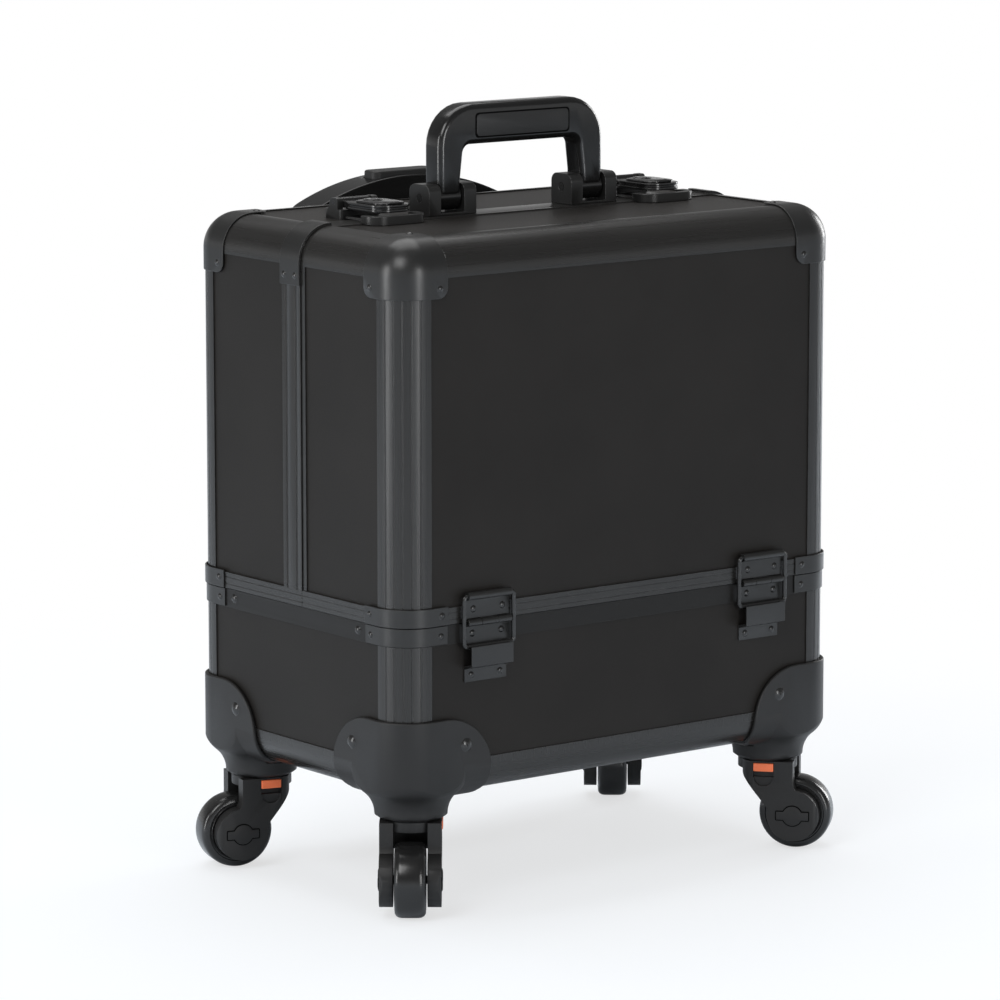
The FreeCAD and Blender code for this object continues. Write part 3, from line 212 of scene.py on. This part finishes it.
for nodeName, obj in frame["nodes"].items():
    obj.data.materials.clear()
    obj.data.materials.append(finishes[slotOf[nodeName]])
print("finishes on the frame")


# a finished piece: millimetres to metres, smooth with crisp edges, riding on its body
def finishPiece(bm, name, body, slotName, *replaced, angle=32, finish=None):
    bmesh.ops.scale(bm, vec=(mm, mm, mm), verts=bm.verts)
    mesh = bpy.data.meshes.new(name)
    bm.to_mesh(mesh)
    bm.free()
    for face in mesh.polygons:
        face.use_smooth = True
    mesh.set_sharp_from_angle(angle=math.radians(angle))
    mesh.materials.append(finish or finishes[slotName])
    obj = bpy.data.objects.new(name, mesh)
    bpy.context.scene.collection.objects.link(obj)
    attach(obj, body)
    if replaced:
        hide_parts(*replaced)
    return obj


# how points and triangles are merged, in millimetres and degrees
merge = dict(seam=0.001, doubles=0.002, flat=0.6, tiny=0.01, crisp=60)


# puts one bmesh into another
def addInto(target, part):
    scratch = bpy.data.meshes.new("scratch")
    part.to_mesh(scratch)
    part.free()
    target.from_mesh(scratch)
    bpy.data.meshes.remove(scratch)


def softenEdges(bm, width, segments):
    bmesh.ops.recalc_face_normals(bm, faces=bm.faces)
    crisp = math.radians(30.0)
    sharp = [e for e in bm.edges if len(e.link_faces) == 2 and e.calc_face_angle(0.0) > crisp]
    bmesh.ops.bevel(bm, geom=sharp, offset=width, offset_type="OFFSET", segments=segments, profile=0.5,
                    affect="EDGES", material=-1, clamp_overlap=True)


# a flat outline with rounded corners (u, v, radius), pushed out along y or z
def slab(corners, axis, low, high, soften=0.0, segments=2, arc=6):
    spot = dict(y=lambda u, v: (u, low, v), z=lambda u, v: (u, v, low))[axis]
    step = dict(y=(0, high - low, 0), z=(0, 0, high - low))[axis]
    bm = bmesh.new()
    verts = [bm.verts.new(spot(u, v)) for u, v, r in corners]
    bm.faces.new(verts)
    for vert, (u, v, r) in zip(verts, corners):
        if r > 0:
            bmesh.ops.bevel(bm, geom=[vert], offset=r, offset_type="OFFSET", segments=arc, profile=0.5,
                            affect="VERTICES", material=-1, clamp_overlap=True)
    grown = bmesh.ops.extrude_face_region(bm, geom=bm.faces[:])["geom"]
    bmesh.ops.translate(bm, vec=step, verts=[g for g in grown if isinstance(g, bmesh.types.BMVert)])
    if soften:
        softenEdges(bm, soften, segments)
    else:
        bmesh.ops.recalc_face_normals(bm, faces=bm.faces)
    return bm


# a turned shape: profile points (radius, height) along an axis through a centre
def turned(profile, centre, axis, steps):
    bm = bmesh.new()
    along = Vector(axis).normalized()
    side = along.orthogonal().normalized()
    verts = [bm.verts.new(Vector(centre) + side * r + along * h) for r, h in profile]
    edges = [bm.edges.new(pair) for pair in zip(verts, verts[1:])]
    bmesh.ops.spin(bm, geom=verts + edges, cent=centre, axis=along, dvec=(0, 0, 0), angle=2 * math.pi,
                   steps=steps, use_merge=True, use_duplicate=False)
    bmesh.ops.remove_doubles(bm, verts=bm.verts, dist=merge["seam"])
    bmesh.ops.recalc_face_normals(bm, faces=bm.faces)
    return bm


# a round bar with eased ends
def roundBar(radius, start, end, ease, steps=28):
    line = Vector(end) - Vector(start)
    far = line.length
    neck = radius - ease
    profile = [(0, 0), (neck, 0), (radius, ease), (radius, far - ease), (neck, far), (0, far)]
    return turned(profile, start, line, steps)


# a copy of a frame node with its triangles merged into whole faces and its edges eased
def easedCopy(node, width, segments=2, angle=28.0, weld=0.0, clamp=True):
    source = frame["nodes"][node]
    bm = bmesh.new()
    bm.from_mesh(source.data)
    bmesh.ops.scale(bm, vec=(1 / mm,) * 3, verts=bm.verts)
    bmesh.ops.remove_doubles(bm, verts=bm.verts, dist=merge["doubles"])
    bmesh.ops.dissolve_limit(bm, angle_limit=math.radians(merge["flat"]), verts=bm.verts, edges=bm.edges)
    if weld:
        bmesh.ops.remove_doubles(bm, verts=bm.verts, dist=weld)
        bmesh.ops.dissolve_degenerate(bm, dist=merge["tiny"], edges=bm.edges)
    piece = finishPiece(bm, node + "_eased", source["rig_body"], slotOf[node], node, angle=merge["crisp"])
    ease = piece.modifiers.new("ease", "BEVEL")
    ease.width = width * mm
    ease.segments = segments
    ease.limit_method = "ANGLE"
    ease.angle_limit = math.radians(angle)
    ease.use_clamp_overlap = clamp
    ease.harden_normals = True


# fittings whose shape the frame already has, with their edges eased so that they catch the light
eases = dict(
    base_seam_frame=0.4, rear_seam_frame=0.3, seam_corner_clips=0.35, cover_corner_clips=0.35,
    rear_corner_caps=0.4, cover_corner_caps=0.4, centre_brackets=0.4, handle_brackets=1.0,
    latch_lock_left=0.3, latch_lock_right=0.3, hinge_upper_leaves=0.3, hinge_lower_leaves=0.3,
    stay_guides=0.35, trolley_button=1.4, lower_tray=0.6, upper_tray=0.6, tray_arms=0.4)
# these have short edges on their arcs, which are welded first
shortEdge = 0.3
arced = dict(latch_bases=0.7, latch_strikes=0.9, trolley_brackets=0.9)
for corner in ("front_left", "front_right", "rear_left", "rear_right"):
    eases["brake_tab_" + corner] = 0.6
    arced["caster_fork_" + corner] = 0.9
for nodeName, width in eases.items():
    easedCopy(nodeName, width)
for nodeName, width in arced.items():
    easedCopy(nodeName, width, weld=shortEdge)
# on these two only the sharpest edges are eased
sharpOnly = dict(corner_boots=dict(width=1.1, segments=3, angle=50.0),
                 trolley_grip=dict(width=0.9, segments=2, angle=40.0))
for nodeName, ease in sharpOnly.items():
    easedCopy(nodeName, **ease, weld=shortEdge, clamp=False)
# the strip below the seam lies back and in the shadow of the one above; its darker, duller copy of the frame
# finish is painted shade
bpy.data.objects["base_seam_frame_eased"].data.materials[0] = paintedShadeFrame
print("eased", len(eases) + len(arced) + len(sharpOnly), "fittings")

# turned caster wheels with a ringed face, a recessed hub and a soft shoulder
wheel = dict(inX=166.0, inY=92.0, trail=22.0, axleZ=27.0, steps=64,
             turns=dict(front_left=232.0, front_right=311.0, rear_left=164.0, rear_right=52.0),
             face=[(3.3, 9.2), (7.0, 9.2), (7.6, 10.2), (15.2, 10.2), (15.8, 9.4), (16.6, 9.4), (17.2, 10.6),
                   (20.2, 11.0), (20.8, 10.3), (21.6, 10.3), (22.2, 11.1), (24.0, 10.9), (25.6, 9.9),
                   (26.6, 8.2), (27.0, 6.0)])


# where a caster swivels, on the floor
def swivelAt(corner):
    sx = 1 if "right" in corner else -1
    sy = 1 if "rear" in corner else -1
    return Vector((sx * wheel["inX"], sy * wheel["inY"], 0))


for corner, turn in wheel["turns"].items():
    heading = Vector((math.cos(math.radians(turn)), math.sin(math.radians(turn)), 0))
    hub = swivelAt(corner) + Vector((0, 0, wheel["axleZ"])) + heading * wheel["trail"]
    axle = Vector((-heading.y, heading.x, 0))
    profile = wheel["face"] + [(r, -h) for r, h in reversed(wheel["face"])]
    rim = turned(profile + profile[:1], hub, axle, wheel["steps"])
    finishPiece(rim, "wheel_" + corner + "_turned", "wheel_" + corner, "wheel_tread",
                "caster_wheel_" + corner)
print("wheels turned")

# caster forks: a closed brow between the cheeks and an axle cap on each side, ringed by a near-black outline
# that is painted shade for the gap round the cap
cap = dict(r=7.3, half=12.0, halfH=3.0, face=22.0, proud=0.9, sunk=0.6, soften=0.25, line=0.7, lineProud=0.58,
           brow=[(-14.5, 60.8, 0), (-3.0, 60.8, 0), (-3.0, 47.0, 2.0), (-5.8, 43.0, 0), (-14.5, 53.9, 3.0)],
           browHalf=13.2, barR=0.8, arcSteps=12, arc=3)


# a round boss with a bar across it, as one outline
def capOutline(grow):
    r = cap["r"] + grow
    half = cap["half"] + grow
    halfH = cap["halfH"] + grow
    meet = math.asin(halfH / r)
    outline = []
    for way in (1, -1):
        outline += [(way * half, -way * halfH, cap["barR"]), (way * half, way * halfH, cap["barR"])]
        for step in range(cap["arcSteps"] + 1):
            angle = meet + (math.pi - 2 * meet) * step / cap["arcSteps"]
            outline.append((way * r * math.cos(angle), way * r * math.sin(angle), 0))
    return [(u + wheel["trail"], v + wheel["axleZ"], corner) for u, v, corner in outline]


for corner, turn in wheel["turns"].items():
    bm = slab(cap["brow"], "y", -cap["browHalf"], cap["browHalf"])
    # the near-black outline, grown a little past each cap and standing a little lower, is painted shade for
    # the gap round the cap
    lines = bmesh.new()
    for s in (-1, 1):
        ends = sorted((s * (cap["face"] - cap["sunk"]), s * (cap["face"] + cap["proud"])))
        addInto(bm, slab(capOutline(0.0), "y", *ends, soften=cap["soften"], arc=cap["arc"]))
        ends = sorted((s * (cap["face"] - cap["sunk"]), s * (cap["face"] + cap["lineProud"])))
        addInto(lines, slab(capOutline(cap["line"]), "y", *ends, arc=cap["arc"]))
    move = Matrix.Translation(swivelAt(corner)) @ Matrix.Rotation(math.radians(turn), 4, "Z")
    for part, label, finish in ((bm, "_caps", None), (lines, "_cap_shade_lines", paintedGapShade)):
        bmesh.ops.transform(part, matrix=move, verts=part.verts)
        finishPiece(part, "fork_" + corner + label, "fork_" + corner, "moulded_black", finish=finish)
print("forks closed")

# carry handle: one rounded U with barrel feet and a pad on each face, framed by a near-black outline that is
# painted shade for the gap round the pad
handle = dict(outer=75.0, leg=20.0, gap=52.0, top=560.0, grip=29.5, knee=505.5, foot=493.5, footR=9.8,
              footEase=1.0, front=-7.0, back=13.0, outerR=30.0, innerR=6.0, soften=4.6, softenSteps=5, arc=8,
              padW=84.0, padH=16.0, padZ=544.2, padR=3.0, padProud=0.5, padDepth=2.0, padSoften=0.22,
              padArc=4, lineW=1.1, lineProud=0.25)
inner = handle["outer"] - handle["leg"]
under = handle["top"] - handle["grip"]
upright = [(-handle["outer"], handle["foot"], 0), (-inner, handle["foot"], 0), (-inner, handle["knee"], 0),
           (-handle["gap"], under, handle["innerR"]), (handle["gap"], under, handle["innerR"]),
           (inner, handle["knee"], 0), (inner, handle["foot"], 0), (handle["outer"], handle["foot"], 0),
           (handle["outer"], handle["top"], handle["outerR"]),
           (-handle["outer"], handle["top"], handle["outerR"])]
bm = slab(upright, "y", handle["front"], handle["back"], handle["soften"], handle["softenSteps"],
          handle["arc"])
middle = (handle["front"] + handle["back"]) / 2
for s in (-1, 1):
    addInto(bm, roundBar(handle["footR"], (s * inner, middle, handle["foot"]),
                         (s * handle["outer"], middle, handle["foot"]), handle["footEase"]))
finishPiece(bm, "handle_grip_rounded", "carry_handle", "handle_plastic", "handle_grip")
# first a near-black outline grown past each pad and standing lower, as painted shade for the gap round it,
# then the pads themselves
for grow, proud, soften, finish in ((handle["lineW"], handle["lineProud"], 0.0, paintedGapShade),
                                    (0.0, handle["padProud"], handle["padSoften"], None)):
    bm = bmesh.new()
    halfW = handle["padW"] / 2 + grow
    halfH = handle["padH"] / 2 + grow
    low = handle["padZ"] - halfH
    high = handle["padZ"] + halfH
    rectangle = ((-halfW, low), (halfW, low), (halfW, high), (-halfW, high))
    corners = [(u, v, handle["padR"]) for u, v in rectangle]
    for face, way in ((handle["front"], -1), (handle["back"], 1)):
        ends = sorted((face - way * handle["padDepth"], face + way * proud))
        addInto(bm, slab(corners, "y", *ends, soften=soften, arc=handle["padArc"]))
    if finish:
        finishPiece(bm, "handle_pad_shade_lines", "carry_handle", "soft_black", finish=finish)
    else:
        finishPiece(bm, "handle_pads_framed", "carry_handle", "soft_black", "handle_pads")
print("handle shaped")

# latch levers: stacked plates with a stepped thumb end, a hinge barrel and a ring round the lock
# each plate: inset, lower and upper height, softening, and whether it narrows to the heel
lever = dict(x=124.0, heelHalf=12.6, half=16.5, heelY=24.0, waistY=17.7, tipY=-22.0, heelR=2.0, waistR=8.0,
             tipR=12.6, topWaistR=6.0, topTipR=9.9, softenSteps=3, arc=8, low=488.0,
             plates=[(0.0, 488.0, 489.9, 0.8, True), (0.7, 489.7, 491.5, 0.8, True),
                     (0.0, 491.3, 493.1, 0.8, True), (3.4, 492.9, 494.6, 0.7, False)],
             lap=2.0, tongueTop=493.0, tongueSoften=0.5, pinY=31.0, pinZ=491.5, barrelR=3.6, barrelEase=0.5,
             lockY=8.0, ringIn=5.25, ringOut=7.4, ringTop=495.1, ringDepth=3.1, ringEaseIn=0.5,
             ringEaseOut=0.7, ringSteps=40, ribsY=(-18.2, -15.8, -13.4), ribHalf=6.5, ribTop=495.1,
             ribR=0.9, ribEase=0.5, ribSteps=16)
for side, s in (("left", -1), ("right", 1)):
    x = s * lever["x"]
    bm = bmesh.new()
    for inset, low, high, soften, necked in lever["plates"]:
        half = lever["half"] - inset
        tip = lever["tipY"] + inset
        waist = lever["waistY"] - inset
        if necked:
            heel = lever["heelHalf"] - inset
            corners = [(x - heel, lever["heelY"], lever["heelR"]), (x - half, waist, lever["waistR"]),
                       (x - half, tip, lever["tipR"]), (x + half, tip, lever["tipR"]),
                       (x + half, waist, lever["waistR"]), (x + heel, lever["heelY"], lever["heelR"])]
        else:
            corners = [(x - half, waist, lever["topWaistR"]), (x - half, tip, lever["topTipR"]),
                       (x + half, tip, lever["topTipR"]), (x + half, waist, lever["topWaistR"])]
        addInto(bm, slab(corners, "z", low, high, soften, lever["softenSteps"], lever["arc"]))
    left = x - lever["heelHalf"]
    right = x + lever["heelHalf"]
    lap = lever["heelY"] - lever["lap"]
    tongue = [(left, lap, 0), (right, lap, 0), (right, lever["pinY"], 0), (left, lever["pinY"], 0)]
    addInto(bm, slab(tongue, "z", lever["low"], lever["tongueTop"], lever["tongueSoften"]))
    addInto(bm, roundBar(lever["barrelR"], (left, lever["pinY"], lever["pinZ"]),
                         (right, lever["pinY"], lever["pinZ"]), lever["barrelEase"]))
    top = lever["ringTop"]
    foot = top - lever["ringDepth"]
    ring = [(lever["ringIn"], foot), (lever["ringIn"], top - lever["ringEaseIn"]),
            (lever["ringIn"] + lever["ringEaseIn"], top), (lever["ringOut"] - lever["ringEaseOut"], top),
            (lever["ringOut"], top - lever["ringEaseOut"]), (lever["ringOut"], foot), (lever["ringIn"], foot)]
    addInto(bm, turned(ring, (x, lever["lockY"], 0), (0, 0, 1), lever["ringSteps"]))
    ribZ = lever["ribTop"] - lever["ribR"]
    for y in lever["ribsY"]:
        addInto(bm, roundBar(lever["ribR"], (x - lever["ribHalf"], y, ribZ), (x + lever["ribHalf"], y, ribZ),
                             lever["ribEase"], lever["ribSteps"]))
    finishPiece(bm, "lever_" + side + "_stacked", side + "_lever", "latch_metal", "latch_lever_" + side)
print("levers stacked")

# camera at the photograph's angle, pale floor and soft boxes
shot = dict(place=(-2.2913, -2.9479, 0.8890), azimuth=-37.67, elevation=9.48, lens=185.46, sensor=36.0)
camData = bpy.data.cameras.new("photoCamera")
camData.lens = shot["lens"]
camData.sensor_width = shot["sensor"]
cam = bpy.data.objects.new("photoCamera", camData)
cam.location = shot["place"]
cam.rotation_euler = (math.radians(90 - shot["elevation"]), 0, math.radians(shot["azimuth"]))
bpy.context.scene.collection.objects.link(cam)
bpy.context.scene.camera = cam
bpy.context.scene.view_settings.view_transform = "Standard"

# the floor shades near the case, so that it keeps the shadow, and fades to plain white away from it
ground = dict(cloud=3.0, tones=[(0.3, (0.83, 0.90, 0.98)), (0.7, (0.84, 0.91, 0.99))], rough=0.6, near=0.3,
              far=1.1, nearWhite=0.66, farWhite=1.0, size=30.0)
floorMat, tree, shader, coords = nodeMaterial("paleFloor")
tone = noiseOn(tree, coords, ground["cloud"])
tree.links.new(rampOn(tree, tone, ground["tones"]), shader.inputs["Base Color"])
shader.inputs["Roughness"].default_value = ground["rough"]
reach = tree.nodes.new("ShaderNodeVectorMath")
reach.operation = "LENGTH"
tree.links.new(coords, reach.inputs[0])
fade = tree.nodes.new("ShaderNodeMapRange")
fade.interpolation_type = "SMOOTHSTEP"
fade.inputs["From Min"].default_value = ground["near"]
fade.inputs["From Max"].default_value = ground["far"]
fade.inputs["To Min"].default_value = ground["nearWhite"]
fade.inputs["To Max"].default_value = ground["farWhite"]
tree.links.new(reach.outputs["Value"], fade.inputs["Value"])
paths = tree.nodes.new("ShaderNodeLightPath")
seen = tree.nodes.new("ShaderNodeMath")
seen.operation = "MULTIPLY"
tree.links.new(paths.outputs["Is Camera Ray"], seen.inputs[0])
tree.links.new(fade.outputs["Result"], seen.inputs[1])
plainWhite = tree.nodes.new("ShaderNodeEmission")
blend = tree.nodes.new("ShaderNodeMixShader")
tree.links.new(seen.outputs["Value"], blend.inputs["Fac"])
tree.links.new(shader.outputs["BSDF"], blend.inputs[1])
tree.links.new(plainWhite.outputs["Emission"], blend.inputs[2])
tree.links.new(blend.outputs["Shader"], tree.nodes["Material Output"].inputs["Surface"])
bm = bmesh.new()
bmesh.ops.create_grid(bm, x_segments=1, y_segments=1, size=ground["size"])
floorMesh = bpy.data.meshes.new("floor")
bm.to_mesh(floorMesh)
bm.free()
floorMesh.materials.append(floorMat)
floor = bpy.data.objects.new("floor", floorMesh)
bpy.context.scene.collection.objects.link(floor)

# the world is white to the camera and round the horizon, with a darker ceiling in the reflections
sky = dict(horizon=1.0, ceiling=0.2, rise=0.22, fill=0.45, seen=1.0)
world = bpy.data.worlds.new("studio")
bpy.context.scene.world = world
world.use_nodes = True
tree = world.node_tree
back = tree.nodes["Background"]
back.inputs["Color"].default_value = (1, 1, 1, 1)
aim = tree.nodes.new("ShaderNodeTexCoord")
parts = tree.nodes.new("ShaderNodeSeparateXYZ")
tree.links.new(aim.outputs["Generated"], parts.inputs["Vector"])
ceiling = tree.nodes.new("ShaderNodeMapRange")
ceiling.inputs["From Min"].default_value = 0.0
ceiling.inputs["From Max"].default_value = sky["rise"]
ceiling.inputs["To Min"].default_value = sky["horizon"]
ceiling.inputs["To Max"].default_value = sky["ceiling"]
tree.links.new(parts.outputs["Z"], ceiling.inputs["Value"])
paths = tree.nodes.new("ShaderNodeLightPath")
mirrored = tree.nodes.new("ShaderNodeMath")
mirrored.operation = "MAXIMUM"
tree.links.new(paths.outputs["Is Glossy Ray"], mirrored.inputs[0])
tree.links.new(paths.outputs["Is Transmission Ray"], mirrored.inputs[1])
level = sky["fill"]
for seen, strength in ((mirrored.outputs["Value"], ceiling.outputs["Result"]),
                       (paths.outputs["Is Camera Ray"], sky["seen"])):
    pick = tree.nodes.new("ShaderNodeMix")
    tree.links.new(seen, pick.inputs["Factor"])
    for socket, value in (("A", level), ("B", strength)):
        if isinstance(value, float):
            pick.inputs[socket].default_value = value
        else:
            tree.links.new(value, pick.inputs[socket])
    level = pick.outputs["Result"]
tree.links.new(level, back.inputs["Strength"])

# the strips are tall, so that their reflections run up the posts and round the handle
lamps = dict(
    keyBox=dict(place=(-2.6, -1.2, 2.6), target=(0, 0, 0.25), width=1.6, height=1.6, power=50),
    topBox=dict(place=(0.3, 0.8, 2.8), target=(0, 0, 0.3), width=2.2, height=2.2, power=42),
    leftStrip=dict(place=(-3.1, 0.65, 0.75), target=(0, 0, 0.3), width=0.7, height=1.6, power=34),
    frontStrip=dict(place=(-0.15, -3.5, 0.75), target=(0, 0, 0.3), width=0.7, height=1.6, power=34),
    rightStrip=dict(place=(3.2, 0.5, 0.95), target=(0, 0, 0.35), width=0.7, height=1.6, power=40),
)
for name, lamp in lamps.items():
    data = bpy.data.lights.new(name, "AREA")
    data.shape = "RECTANGLE"
    data.size = lamp["width"]
    data.size_y = lamp["height"]
    data.energy = lamp["power"]
    box = bpy.data.objects.new(name, data)
    box.location = lamp["place"]
    aimed = Vector(lamp["target"]) - Vector(lamp["place"])
    box.rotation_euler = aimed.to_track_quat("-Z", "Y").to_euler()
    bpy.context.scene.collection.objects.link(box)
print("studio set")
